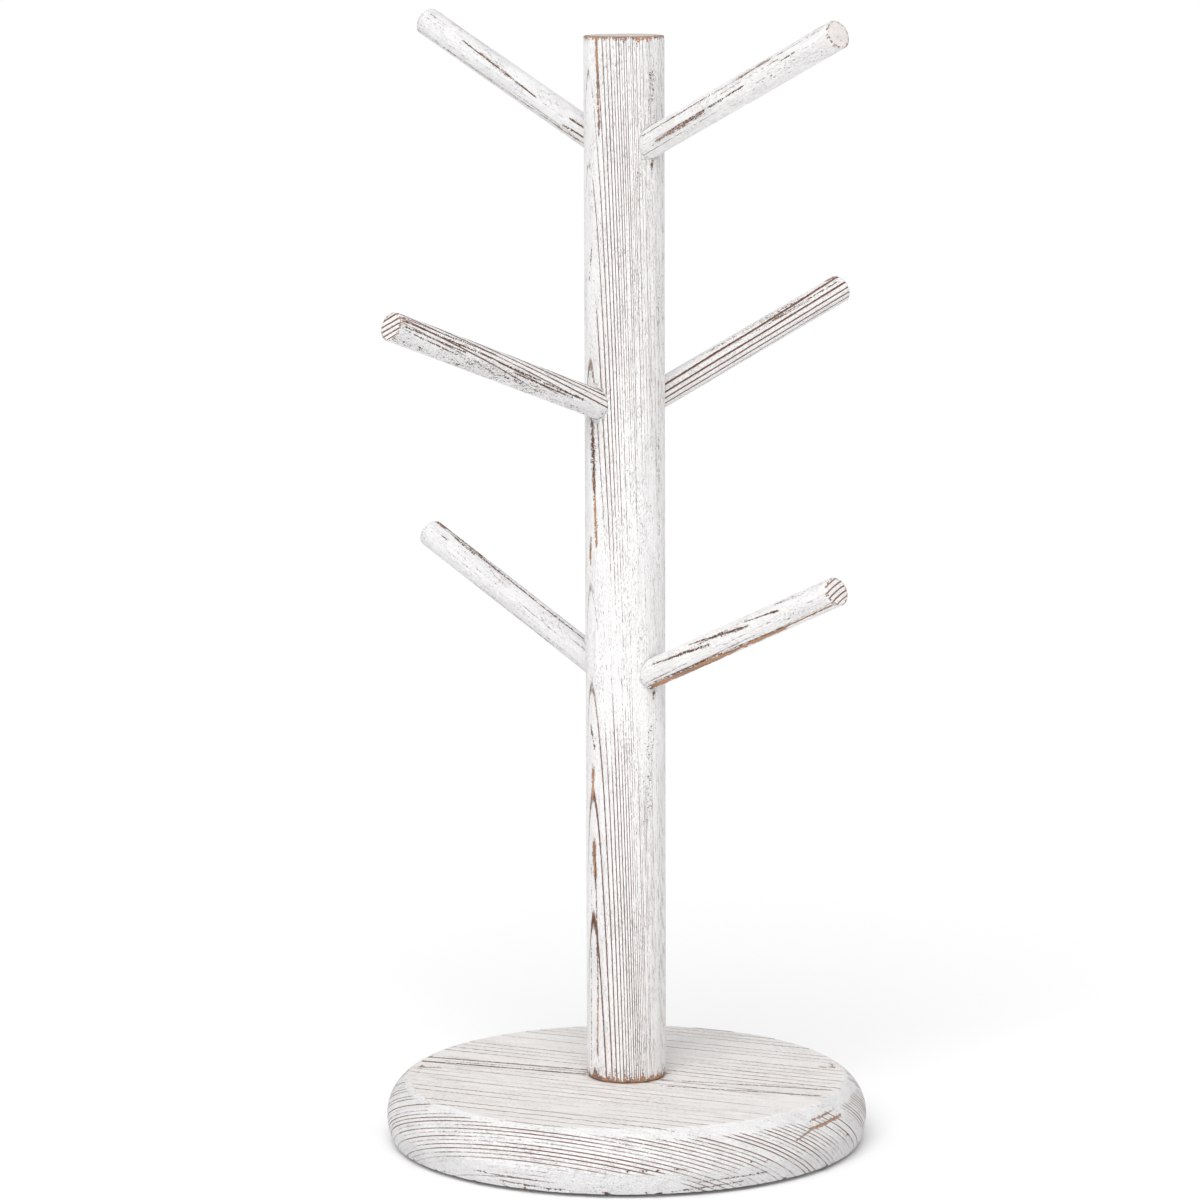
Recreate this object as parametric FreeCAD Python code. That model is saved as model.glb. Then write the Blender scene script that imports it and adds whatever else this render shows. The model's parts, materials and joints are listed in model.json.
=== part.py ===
import FreeCAD, Part
import math
import os

# Mug tree: a round post on a round base board, with three tiers of two
# opposed pegs that mugs hang from by their handles. Millimetres, +Z up.
# The origin is on the table, under the middle of the base.

# Anti-slip pads under the base
PAD_THICKNESS = 1.5
PAD_DIAMETER = 16.0
PAD_RING_DIAMETER = 128.0
PAD_EDGE_ROUND = 0.4
PAD_HEADINGS = {
    "pad_front_right": -45.0,
    "pad_front_left": -135.0,
    "pad_back_left": 135.0,
    "pad_back_right": 45.0,
}

# Base board: a flat top, a rim rounded by two arcs and a flat underside
BASE_THICKNESS = 21.5
BASE_DIAMETER = 170.0
BASE_TOP_DIAMETER = 154.0
BASE_UNDERSIDE_DIAMETER = 166.0
RIM_DROP = 12.8  # from the flat top down to the widest ring

# Post
POST_DIAMETER = 28.0
POST_TOP_HEIGHT = 390.0
POST_TOP_CHAMFER = 0.4
POST_FOOT_CHAMFER = 0.6

# Pegs: dowels that rise outwards, each glued in an angled blind hole
PEG_DIAMETER = 10.2
PEG_TIP_REACH = 113.0  # along the peg, from the post's axis to its end face
PEG_HEEL_REACH = 5.5  # along the peg, from the post's axis to the tenon's end
PEG_TIP_CHAMFER = 0.4
GLUE_GAP = 0.05  # all round the tenon

# One tier: height where the peg axes cross the post's axis, rise of the pegs
# above level, and the heading of the right-hand peg; the left is opposite.
TIERS = {
    "top": (347.5, 23.5, -45.0),
    "middle": (258.5, 19.5, 45.0),
    "bottom": (163.0, 23.0, -45.0),
}
SIDE_TURNS = {"right": 0.0, "left": 180.0}

# Countersunk wood screw, up through the base into the post
SCREW_LENGTH = 60.0
SCREW_THREAD_DIAMETER = 5.0
SCREW_CORE_DIAMETER = 3.2
SCREW_HEAD_DIAMETER = 9.8
SCREW_HEAD_ANGLE = 90.0
SCREW_HEAD_LAND = 0.5  # straight edge round the head
SCREW_RECESS = 1.2  # the head's face sits this far inside the underside
SCREW_TIP_LENGTH = 6.0
THREAD_LENGTH = 40.0
THREAD_PITCH = 2.4
THREAD_ROOT_WIDTH = 1.1
THREAD_SINK = 0.25  # the thread's root runs this far into the core
BASE_HOLE_DIAMETER = 5.6
CROSS_WIDTH = 1.1
CROSS_SPAN = 5.4
CROSS_DEPTH = 2.6
CROSS_FLOOR_SPAN = 2.0

CUT_PAST = 1.0  # a cut runs this far beyond the face it opens on

UP = FreeCAD.Vector(0, 0, 1)
UNDERSIDE = PAD_THICKNESS
BASE_TOP = UNDERSIDE + BASE_THICKNESS
SCREW_FACE = UNDERSIDE + SCREW_RECESS


def radial_point(radius, height):
    """A point in the XZ half-plane that a profile turns from."""
    return FreeCAD.Vector(radius, 0, height)


def heading_vector(heading, rise):
    """Unit vector along a peg."""
    level = math.cos(math.radians(rise))
    x = level * math.cos(math.radians(heading))
    y = level * math.sin(math.radians(heading))
    return FreeCAD.Vector(x, y, math.sin(math.radians(rise)))


def bulge_point(wide, narrow):
    """Middle of the arc that leaves the widest point upright and ends at the narrow one."""
    inset = wide.x - narrow.x
    drop = narrow.z - wide.z
    radius = (inset ** 2 + drop ** 2) / (2 * inset)
    half_turn = math.asin(drop / radius) / 2
    x = wide.x - radius * (1 - math.cos(half_turn))
    return radial_point(x, wide.z + radius * math.sin(half_turn))


def turned(edges):
    """A solid turned about the Z axis from a closed profile."""
    face = Part.Face(Part.Wire(edges))
    return face.revolve(FreeCAD.Vector(0, 0, 0), UP, 360)


def polygon_turned(points):
    """A solid turned about the Z axis from a profile of straight lines."""
    return turned(Part.makePolygon(points + points[:1]).Edges)


def base_blank():
    """The base board before it is bored."""
    top_edge = radial_point(BASE_TOP_DIAMETER / 2, BASE_TOP)
    widest = radial_point(BASE_DIAMETER / 2, BASE_TOP - RIM_DROP)
    bottom_edge = radial_point(BASE_UNDERSIDE_DIAMETER / 2, UNDERSIDE)
    top_middle = radial_point(0, BASE_TOP)
    bottom_middle = radial_point(0, UNDERSIDE)
    profile = [
        Part.LineSegment(bottom_middle, bottom_edge).toShape(),
        Part.Arc(bottom_edge, bulge_point(widest, bottom_edge), widest).toShape(),
        Part.Arc(widest, bulge_point(widest, top_edge), top_edge).toShape(),
        Part.LineSegment(top_edge, top_middle).toShape(),
        Part.LineSegment(top_middle, bottom_middle).toShape(),
    ]
    return turned(profile)


def head_height():
    """Height of the screw's countersunk cone."""
    cone = (SCREW_HEAD_DIAMETER - SCREW_CORE_DIAMETER) / 2
    return cone / math.tan(math.radians(SCREW_HEAD_ANGLE / 2))


def screw_seat():
    """What is cut from the base: clearance hole, countersink and recess."""
    mouth = SCREW_HEAD_DIAMETER / 2 + GLUE_GAP
    seat_top = SCREW_FACE + SCREW_HEAD_LAND + head_height()
    hole = BASE_HOLE_DIAMETER / 2
    slope = math.tan(math.radians(SCREW_HEAD_ANGLE / 2))
    cone_end = seat_top - (hole - SCREW_CORE_DIAMETER / 2) / slope
    points = [
        radial_point(0, UNDERSIDE - CUT_PAST),
        radial_point(mouth, UNDERSIDE - CUT_PAST),
        radial_point(mouth, SCREW_FACE + SCREW_HEAD_LAND),
        radial_point(hole, cone_end),
        radial_point(hole, BASE_TOP + CUT_PAST),
        radial_point(0, BASE_TOP + CUT_PAST),
    ]
    return polygon_turned(points)


def make_base():
    return base_blank().cut(screw_seat())


def peg_hole(height, direction):
    """Angled blind hole that holds a peg's tenon."""
    start = FreeCAD.Vector(0, 0, height) + direction * PEG_HEEL_REACH
    return Part.makeCylinder(PEG_DIAMETER / 2 + GLUE_GAP, POST_DIAMETER, start, direction)


def pilot_hole():
    """Hole up the post's foot for the screw's core, with its pointed end."""
    core = SCREW_CORE_DIAMETER / 2
    tip = SCREW_FACE + SCREW_LENGTH
    points = [
        radial_point(0, BASE_TOP - CUT_PAST),
        radial_point(core, BASE_TOP - CUT_PAST),
        radial_point(core, tip - SCREW_TIP_LENGTH),
        radial_point(0, tip),
    ]
    return polygon_turned(points)


def make_post():
    radius = POST_DIAMETER / 2
    points = [
        radial_point(0, BASE_TOP),
        radial_point(radius - POST_FOOT_CHAMFER, BASE_TOP),
        radial_point(radius, BASE_TOP + POST_FOOT_CHAMFER),
        radial_point(radius, POST_TOP_HEIGHT - POST_TOP_CHAMFER),
        radial_point(radius - POST_TOP_CHAMFER, POST_TOP_HEIGHT),
        radial_point(0, POST_TOP_HEIGHT),
    ]
    post = polygon_turned(points).cut(pilot_hole())
    for height, direction in pegs().values():
        post = post.cut(peg_hole(height, direction))
    return post


def pegs():
    """Every peg's name, with the height and direction of its axis."""
    found = {}
    for tier, (height, rise, heading) in TIERS.items():
        for side, turn in SIDE_TURNS.items():
            found[f"peg_{tier}_{side}"] = (height, heading_vector(heading + turn, rise))
    return found


def make_peg(height, direction):
    """A dowel from its tenon's flat end to its eased tip."""
    radius = PEG_DIAMETER / 2
    points = [
        radial_point(0, PEG_HEEL_REACH),
        radial_point(radius, PEG_HEEL_REACH),
        radial_point(radius, PEG_TIP_REACH - PEG_TIP_CHAMFER),
        radial_point(radius - PEG_TIP_CHAMFER, PEG_TIP_REACH),
        radial_point(0, PEG_TIP_REACH),
    ]
    peg = polygon_turned(points)
    peg.Placement = FreeCAD.Placement(
        FreeCAD.Vector(0, 0, height),
        FreeCAD.Rotation(UP, direction),
    )
    return peg


def screw_thread():
    """One helical ridge with a sharp crest, wound on the screw's core."""
    core = SCREW_CORE_DIAMETER / 2
    start = SCREW_FACE + SCREW_LENGTH - SCREW_TIP_LENGTH - THREAD_LENGTH
    helix = Part.makeLongHelix(THREAD_PITCH, THREAD_LENGTH, core)
    helix.translate(UP * start)
    root = core - THREAD_SINK
    ridge = Part.makePolygon(
        [
            radial_point(root, start - THREAD_ROOT_WIDTH / 2),
            radial_point(SCREW_THREAD_DIAMETER / 2, start),
            radial_point(root, start + THREAD_ROOT_WIDTH / 2),
            radial_point(root, start - THREAD_ROOT_WIDTH / 2),
        ]
    )
    return Part.Wire(helix.Edges).makePipeShell([ridge], True, True)


def cross_recess():
    """Tapered cross in the screw's head, for a driver."""
    wings = []
    half = CROSS_WIDTH / 2
    for turn in (0, 90):
        wing = Part.makePolygon(
            [
                FreeCAD.Vector(-CROSS_SPAN / 2, -half, SCREW_FACE - CUT_PAST),
                FreeCAD.Vector(CROSS_SPAN / 2, -half, SCREW_FACE - CUT_PAST),
                FreeCAD.Vector(CROSS_SPAN / 2, -half, SCREW_FACE),
                FreeCAD.Vector(CROSS_FLOOR_SPAN / 2, -half, SCREW_FACE + CROSS_DEPTH),
                FreeCAD.Vector(-CROSS_FLOOR_SPAN / 2, -half, SCREW_FACE + CROSS_DEPTH),
                FreeCAD.Vector(-CROSS_SPAN / 2, -half, SCREW_FACE),
                FreeCAD.Vector(-CROSS_SPAN / 2, -half, SCREW_FACE - CUT_PAST),
            ]
        )
        prism = Part.Face(wing).extrude(FreeCAD.Vector(0, CROSS_WIDTH, 0))
        prism.rotate(FreeCAD.Vector(0, 0, 0), UP, turn)
        wings.append(prism)
    return wings[0].fuse(wings[1])


def screw_body():
    """Head, shank and point of the screw, without its thread."""
    head = SCREW_HEAD_DIAMETER / 2
    core = SCREW_CORE_DIAMETER / 2
    cone_start = SCREW_FACE + SCREW_HEAD_LAND
    tip = SCREW_FACE + SCREW_LENGTH
    points = [
        radial_point(0, SCREW_FACE),
        radial_point(head, SCREW_FACE),
        radial_point(head, cone_start),
        radial_point(core, cone_start + head_height()),
        radial_point(core, tip - SCREW_TIP_LENGTH),
        radial_point(0, tip),
    ]
    return polygon_turned(points)


def make_screw():
    screw = screw_body().fuse(screw_thread())
    return screw.cut(cross_recess())


def make_pad(heading):
    """A round stick-on pad with an eased lower edge."""
    angle = math.radians(heading)
    ring = PAD_RING_DIAMETER / 2
    radius = PAD_DIAMETER / 2
    points = [
        radial_point(0, 0),
        radial_point(radius - PAD_EDGE_ROUND, 0),
        radial_point(radius, PAD_EDGE_ROUND),
        radial_point(radius, PAD_THICKNESS),
        radial_point(0, PAD_THICKNESS),
    ]
    pad = polygon_turned(points)
    pad.translate(FreeCAD.Vector(ring * math.cos(angle), ring * math.sin(angle), 0))
    return pad


def write(name, shape):
    """Check one piece and write it as its own STEP file."""
    solids = shape.Solids
    if len(solids) != 1 or not shape.isValid():
        raise RuntimeError(f"{name}: {len(solids)} solids, valid {shape.isValid()}")
    solids[0].exportStep(f"parts/{name}.step")
    print(f"{name}: {solids[0].Volume / 1000:.2f} cm3")


os.makedirs("parts", exist_ok=True)
write("base", make_base())
write("post", make_post())
write("post_screw", make_screw())
for peg_name, (peg_height, peg_direction) in pegs().items():
    write(peg_name, make_peg(peg_height, peg_direction))
for pad_name, pad_heading in PAD_HEADINGS.items():
    write(pad_name, make_pad(pad_heading))
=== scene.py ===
import json
import math

import bpy
import numpy as np
from mathutils import Matrix, Vector


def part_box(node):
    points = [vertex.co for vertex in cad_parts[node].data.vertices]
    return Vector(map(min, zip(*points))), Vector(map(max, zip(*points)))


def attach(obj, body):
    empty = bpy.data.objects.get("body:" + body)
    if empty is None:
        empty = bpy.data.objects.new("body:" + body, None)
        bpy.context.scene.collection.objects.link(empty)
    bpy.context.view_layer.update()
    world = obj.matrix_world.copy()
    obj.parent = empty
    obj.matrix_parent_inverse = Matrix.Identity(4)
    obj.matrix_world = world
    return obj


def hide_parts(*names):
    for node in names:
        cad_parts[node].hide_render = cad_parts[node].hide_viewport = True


# A whitewashed, wire-brushed wooden mug tree. Lengths are in millimetres
# until a mesh is made; Blender's own values are in metres.

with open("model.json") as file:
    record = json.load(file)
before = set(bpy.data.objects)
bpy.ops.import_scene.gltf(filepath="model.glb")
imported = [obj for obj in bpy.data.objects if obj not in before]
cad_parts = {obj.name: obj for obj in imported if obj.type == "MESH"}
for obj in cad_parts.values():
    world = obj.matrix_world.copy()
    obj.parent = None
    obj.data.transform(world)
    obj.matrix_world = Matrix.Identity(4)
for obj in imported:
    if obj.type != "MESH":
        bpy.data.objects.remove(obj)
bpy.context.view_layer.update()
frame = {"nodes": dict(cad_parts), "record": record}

MM = 0.001
TURN = 2 * math.pi

# Camera, from the middle of the base
CAMERA_AZIMUTH = 2.0
CAMERA_DISTANCE = 1.7505
CAMERA_HEIGHT = 0.4502
CAMERA_DOWN = 8.35
CAMERA_LEFT = 0.29
CAMERA_ROLL = -0.19
CAMERA_LENS = 151.64
SENSOR_WIDTH = 36.0
CAMERA_CLIP = 50.0

# Mesh fineness: points round a piece, and the step along it
POST_COLUMNS = 400
POST_STEP = 1.75
PEG_COLUMNS = 192
PEG_STEP = 1.0
RIM_COLUMNS = 1024
RIM_STEP = 0.39
CAP_STEP = 0.8
CAP_LEAST_COLUMNS = 10
HOLE_COLUMNS = 96
SHARP_ANGLE = 50.0  # edges sharper than this many degrees aren't shaded smooth

# Turned shapes that the frame's boxes don't give
POST_CHAMFER = 0.4
FOOT_CHAMFER = 0.6
PEG_CHAMFER = 0.5
TENON_CHAMFER = 0.1
PEG_HOLE_GAP = 0.05
DRILL_LENGTH = 30.0
BASE_FLAT_RADIUS = 77.0
BASE_UNDERSIDE_RADIUS = 83.0
RIM_DROP = 12.8
SCREW_HOLE_RADIUS = 2.8
SCREW_MOUTH_RADIUS = 4.95
SCREW_MOUTH_DEPTH = 1.7
SCREW_CONE_DEPTH = 3.8

# The base's flat faces in zones, each with a share (1 / divisor) of the rim's points.
# Under it, going out: (outer radius, step, divisor); then single rings (radius, divisor)
UNDER_ZONES = [(15.0, 2.5, 16), (26.0, 2.0, 8), (48.0, 2.0, 4), (80.0, 1.8, 2)]
UNDER_EDGE = [(81.6, 2), (82.6, 1)]
# On top, going in: one ring, then (outer radius, inner radius, step, divisor)
TOP_EDGE = 76.6
TOP_ZONES = [
    (76.0, 42.0, 1.4, 2),
    (42.0, 22.0, 1.6, 4),
    (22.0, 13.0, 1.8, 8),
    (13.0, SCREW_HOLE_RADIUS, 3.0, 16),
]


# ---------------------------------------------------------------- noise


def cell_value(cells, seed):
    """A repeatable value from -1 to 1 for each whole-numbered cell."""
    mixed = cells @ np.array([73856093, 19349663, 83492791]) + seed * 26544357
    mixed = mixed & 0xFFFFFFFF
    mixed = ((mixed ^ (mixed >> 15)) * 739982445) & 0xFFFFFFFF
    mixed = ((mixed ^ (mixed >> 12)) * 695872825) & 0xFFFFFFFF
    mixed = mixed ^ (mixed >> 15)
    return mixed / 0x7FFFFFFF - 1


def ripple(points, size, seed):
    """Smooth noise from -1 to 1 with lumps of about the given size, in mm."""
    scaled = points / np.array(size)
    cell = np.floor(scaled).astype(np.int64)
    part = scaled - cell
    part = part * part * (3 - 2 * part)
    total = np.zeros(len(points))
    for corner in np.ndindex(2, 2, 2):
        step = np.array(corner)
        weight = np.prod(np.where(step == 1, part, 1 - part), axis=1)
        total += weight * cell_value(cell + step, seed)
    return total


def smoothstep(value, low, high):
    part = np.clip((value - low) / (high - low), 0, 1)
    return part * part * (3 - 2 * part)


# ---------------------------------------------------------------- turned meshes


def band(low, high):
    """Faces between two rings of point numbers; one may have twice the other's points."""
    a, b = len(low), len(high)
    faces = []
    if b == 1:
        faces += [(low[j], low[(j + 1) % a], high[0]) for j in range(a)]
    elif a == 1:
        faces += [(low[0], high[(j + 1) % b], high[j]) for j in range(b)]
    elif a == b:
        faces += [(low[j], low[(j + 1) % a], high[(j + 1) % b], high[j]) for j in range(a)]
    elif a == 2 * b:
        for k in range(b):
            middle = low[2 * k + 1]
            after = high[(k + 1) % b]
            faces.append((low[2 * k], middle, high[k]))
            faces.append((middle, low[(2 * k + 2) % a], after))
            faces.append((middle, after, high[k]))
    else:
        for k in range(a):
            middle = high[2 * k + 1]
            after = low[(k + 1) % a]
            faces.append((low[k], after, middle))
            faces.append((low[k], middle, high[2 * k]))
            faces.append((after, high[(2 * k + 2) % b], middle))
    return faces


def turned(profile, closed=False):
    """Points and faces of a shape turned about Z. profile holds (radius, height, points)."""
    points = []
    rings = []
    made = 0
    for radius, height, count in profile:
        count = count if radius > 0 else 1
        angle = np.arange(count) * TURN / count
        ring = [radius * np.cos(angle), radius * np.sin(angle), np.full(count, height)]
        points.append(np.column_stack(ring))
        rings.append(range(made, made + count))
        made += count
    pairs = list(zip(rings, rings[1:]))
    if closed:
        pairs.append((rings[-1], rings[0]))
    faces = []
    for low, high in pairs:
        faces += band(low, high)
    return np.concatenate(points), faces


def straight(start, end, step, count):
    """Profile rings from start up to, but not at, end."""
    length = math.dist(start, end)
    parts = max(1, round(length / step))
    rings = []
    for i in range(parts):
        share = i / parts
        radius = start[0] + (end[0] - start[0]) * share
        height = start[1] + (end[1] - start[1]) * share
        rings.append((radius, height, count))
    return rings


def rim_arc(wide, narrow, step, count):
    """Rings of the arc that is upright at its wide end, from wide to, but not at, narrow."""
    inset = wide[0] - narrow[0]
    drop = abs(narrow[1] - wide[1])
    radius = (inset ** 2 + drop ** 2) / (2 * inset)
    reach = math.asin(drop / radius)
    side = math.copysign(1, narrow[1] - wide[1])
    parts = round(radius * reach / step)
    rings = []
    for i in range(parts):
        angle = reach * i / parts
        bulge = radius * (1 - math.cos(angle))
        rings.append((wide[0] - bulge, wide[1] + side * radius * math.sin(angle), count))
    return rings


def disc(radius, height, count, step):
    """Rings from the edge of a flat end in to its middle, thinning out on the way."""
    rings = []
    while radius > step:
        rings.append((radius, height, count))
        radius -= step
        if TURN * radius / count < step / 2 and count % 2 == 0 and count > CAP_LEAST_COLUMNS:
            count //= 2
    rings.append((0, height, 1))
    return rings


def rod_profile(radius, low, high, low_chamfer, high_chamfer, columns, step):
    """A round rod from its lower flat end to its upper one."""
    foot = disc(radius - low_chamfer, low, columns, CAP_STEP)
    head = disc(radius - high_chamfer, high, columns, CAP_STEP)
    side_low = (radius, low + low_chamfer)
    side_high = (radius, high - high_chamfer)
    profile = foot[::-1]
    profile += straight(side_low, side_high, step, columns)
    profile.append((*side_high, columns))
    return profile + head


def base_profile(bottom, top, radius):
    """The base's section: screw hole, underside, rim and flat top, as one closed loop."""
    wide = (radius, top - RIM_DROP)
    flat = (BASE_FLAT_RADIUS, top)
    under = (BASE_UNDERSIDE_RADIUS, bottom)
    low_arc = rim_arc(wide, under, RIM_STEP, RIM_COLUMNS)
    high_arc = rim_arc(wide, flat, RIM_STEP, RIM_COLUMNS)
    few = RIM_COLUMNS // UNDER_ZONES[0][-1]
    profile = [(SCREW_HOLE_RADIUS, top, few)]
    profile += [(SCREW_HOLE_RADIUS, bottom + SCREW_CONE_DEPTH, few)]
    profile += [(SCREW_MOUTH_RADIUS, bottom + SCREW_MOUTH_DEPTH, few)]
    inner = SCREW_MOUTH_RADIUS
    for outer, step, divisor in UNDER_ZONES:
        profile += straight((inner, bottom), (outer, bottom), step, RIM_COLUMNS // divisor)
        inner = outer
    profile += [(ring, bottom, RIM_COLUMNS // divisor) for ring, divisor in UNDER_EDGE]
    profile += [(*under, RIM_COLUMNS)]
    profile += low_arc[:0:-1]
    profile += high_arc
    profile += [(*flat, RIM_COLUMNS), (TOP_EDGE, top, RIM_COLUMNS)]
    for outer, inner, step, divisor in TOP_ZONES:
        profile += straight((outer, top), (inner, top), step, RIM_COLUMNS // divisor)
    return profile


def new_mesh(name, points, faces):
    mesh = bpy.data.meshes.new(name)
    mesh.from_pydata(points.tolist(), [], faces)
    mesh.update()
    return mesh


def normals_of(mesh):
    values = np.zeros(len(mesh.vertices) * 3, np.float32)
    mesh.vertex_normals.foreach_get("vector", values)
    return values.reshape(-1, 3)


# ---------------------------------------------------------------- wood

FINE_WANDER = 0.22  # the finer waves in the rings, as a share of the broad ones
LINE_SWELL = 0.3  # how much a line's strength rises and falls along the grain
SWELL_LENGTH = 0.35  # as a share of the length of the rings' broad waves
# Where a line's groove rises and falls, as shares of the way across its ring
GROOVE_RISE = (0.28, 0.46)
GROOVE_FALL = (0.54, 0.84)
# Sizes of the cuts and lumps in the wood's surface
SHALLOWEST_LINE = 0.25  # the least share of the full relief that any line is cut to
CHIP_DEPTH = 0.22
DENT_SIZE = (2.2, 2.2, 14.0)
LEAST_SKIMMED = 0.32  # keeps lines from vanishing where the surface lies along the rings


def ring_depth(grain, wood):
    """Distance inwards from the bark side, across the growth rings.

    grain holds two coordinates across the grain and one along it.
    """
    facing = math.radians(wood["face"])
    toward = grain[:, 0] * math.cos(facing) + grain[:, 1] * math.sin(facing)
    aside = grain[:, 1] * math.cos(facing) - grain[:, 0] * math.sin(facing)
    pith = wood["pith"]
    depth = pith - np.hypot(pith - wood["reach"] + toward, aside)
    depth += wood["tilt"] * grain[:, 2]
    across, along = wood["lump"]
    depth += wood["wander"] * ripple(grain, (across, across, along), wood["seed"])
    fine = (across / 3, across / 3, along / 3)
    depth += FINE_WANDER * wood["wander"] * ripple(grain, fine, wood["seed"] + 1)
    return depth


def ring_count(depth, wood):
    """Growth rings between the bark side and each point; the rings narrow inwards."""
    outer, inner, fade = wood["rings"]
    grown = inner * np.exp(depth / fade) + outer - inner
    return fade / inner * np.log(np.maximum(grown, 1e-6) / outer)


def line_strength(count, depth, grain, wood):
    """How dark and deep each ring's brushed line is, from 0 to 1, along its length."""
    ring = np.floor(count).astype(np.int64)
    own = cell_value(np.column_stack([ring, ring * 0, ring * 0]), wood["seed"] + 5)
    track = np.column_stack([ring * 9.0, ring * 0.0, grain[:, 2]])
    slow = ripple(track, (1.0, 1.0, wood["lump"][1] * SWELL_LENGTH), wood["seed"] + 6)
    strength = wood["lines"] + wood["spread"] * own + LINE_SWELL * slow
    strength -= wood["faint"] * smoothstep(depth, 0.35 * wood["deep"], wood["deep"])
    return np.clip(strength, 0, 1)


def line_profile(count):
    """Cross-section of one ring's line: steep on one side, easing off on the other."""
    part = count - np.floor(count)
    return smoothstep(part, *GROOVE_RISE) * (1 - smoothstep(part, *GROOVE_FALL))


def streaks(across, along, marks, unit=1.0, wrap=None):
    """Soft marks along lines, each as (start, end, half width, amount).

    Start and end are (across, along). unit is the length of one step of across in mm,
    and wrap is how much of it goes once round the piece.
    """
    total = np.zeros(len(across))
    for (from_across, low), (to_across, high), width, amount in marks:
        share = np.clip((along - low) / (high - low), 0, 1)
        gap = across - from_across - (to_across - from_across) * share
        if wrap:
            gap = (gap + wrap / 2) % wrap - wrap / 2
        over = np.maximum(np.maximum(low - along, along - high), 0)
        fade = np.exp(-((gap * unit / width) ** 2) - (over / (2 * width)) ** 2)
        total = np.maximum(total, amount * fade)
    return total


def rod_marks(points, radius, marks):
    """Marks on a round rod: across is an angle round it in degrees, along its length."""
    angle = np.degrees(np.arctan2(points[:, 1], points[:, 0]))
    side = smoothstep(np.hypot(points[:, 0], points[:, 1]), 0.8 * radius, 0.95 * radius)
    return side * streaks(angle, points[:, 2], marks, radius * TURN / 360, 360)


def carve(name, points, faces, turn, wood, wear):
    """A mesh with its brushed lines cut in, carrying what the whitewash material reads.

    turn's rows are the two directions across the grain and the one along it. wear holds
    a value per point for bare wood, dark marks, added line strength, a grey veil of paint
    that lets the wood tint through and also lays painted shade on the left pegs and the
    lower rim, and how even the lines are along their length.
    """
    mesh = new_mesh(name, points, faces)
    grain = points @ turn.T
    depth = ring_depth(grain, wood)
    count = ring_count(depth, wood)
    bare, dark, added, thin_and_shade, even = wear
    facing = math.radians(wood["face"])
    inward = np.array([math.cos(facing), math.sin(facing), 0]) @ turn
    skimmed = np.sqrt(np.maximum(1 - (normals_of(mesh) @ inward) ** 2, 0))
    lines = line_strength(count, depth, grain, wood)
    lines = np.clip(lines + added, 0, 1)
    lumps = 0.5 + 0.5 * ripple(grain, DENT_SIZE, wood["seed"] + 8)
    strength = SHALLOWEST_LINE + (1 - SHALLOWEST_LINE) * lines
    cut = wood["relief"] * line_profile(count) * strength
    cut += wood["dents"] * lumps
    cut += CHIP_DEPTH * smoothstep(np.maximum(bare, dark), 0.35, 0.9)
    moved = points - normals_of(mesh) * cut[:, None]
    mesh.vertices.foreach_set("co", moved.astype(np.float32).ravel())
    store(mesh, "rings", count)
    store(mesh, "lines", lines)
    store(mesh, "bare", bare)
    store(mesh, "dark", dark)
    store(mesh, "thin_and_shade", thin_and_shade)
    store(mesh, "even", even)
    store(mesh, "width", np.maximum(skimmed, LEAST_SKIMMED))
    store(mesh, "grain", grain)
    mesh.update()
    return mesh


def store(mesh, name, values):
    """Keep one value or vector per point on the mesh."""
    values = np.asarray(values)
    if values.ndim == 0:
        values = np.full(len(mesh.vertices), float(values))
    kind = "FLOAT" if values.ndim == 1 else "FLOAT_VECTOR"
    field = "value" if values.ndim == 1 else "vector"
    attribute = mesh.attributes.new(name, kind, "POINT")
    attribute.data.foreach_set(field, values.astype(np.float32).ravel())


def stand(mesh, node, matrix=None):
    """Put a finished wooden mesh in the scene in place of its CAD node."""
    scale = Matrix.Scale(MM, 4)
    mesh.transform(scale @ matrix if matrix else scale)
    mesh.shade_smooth()
    mesh.set_sharp_from_angle(angle=math.radians(SHARP_ANGLE))
    mesh.materials.append(WHITEWASH)
    piece = bpy.data.objects.new(mesh.name, mesh)
    bpy.context.scene.collection.objects.link(piece)
    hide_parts(node)
    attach(piece, "root")
    return piece


# ---------------------------------------------------------------- materials

LINE_START = 0.4  # how far across its ring a line starts
# Bump depths, in metres
PAINT_BUMP = 0.00028
STEEL_BUMP = 0.00003
RUBBER_BUMP = 0.00008
# Colours, as 0-255 screen values
PAINT = (247, 246, 245)
PAINT_SHADE = (239, 237, 236)
PAINT_FIBRE = (214, 209, 206)
# Grey of thin paint; the same grey is painted shade on the left pegs and the rim's lower part
VEIL_AND_SHADE_GREY = (212, 211, 212)
VEIL_WARM = (224, 214, 206)
PIT = (160, 152, 147)
DASH = (118, 106, 100)
LINE_FAINT = (186, 164, 151)
LINE_BOLD = (126, 79, 57)
# Painted shadow: the near-black edge along the steep wall of each line's groove
LINE_SHADOW = (70, 48, 40)
LINE_FLECK = (66, 48, 42)
WOOD_FRESH = (204, 150, 108)
WOOD_AGED = (152, 116, 94)
WOOD_FLECK = (126, 84, 60)
CHIP_EDGE = (84, 60, 48)
WOOD_VEILED = (166, 146, 134)
STAIN_DEEP = (48, 34, 29)
STAIN_WORN = (138, 98, 78)
ZINC_DULL = (176, 176, 172)
ZINC_BRIGHT = (205, 203, 192)
RUBBER = (42, 42, 43)
RUBBER_DUST = (66, 65, 64)
FLOOR = (253, 253, 253)
FLOOR_CLOUD = (251, 251, 251)


def srgb(red, green, blue):
    """A colour given as 0-255 screen values, as the shader wants it."""
    linear = [((v / 255 + 0.055) / 1.055) ** 2.4 for v in (red, green, blue)]
    return (*linear, 1.0)


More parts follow.
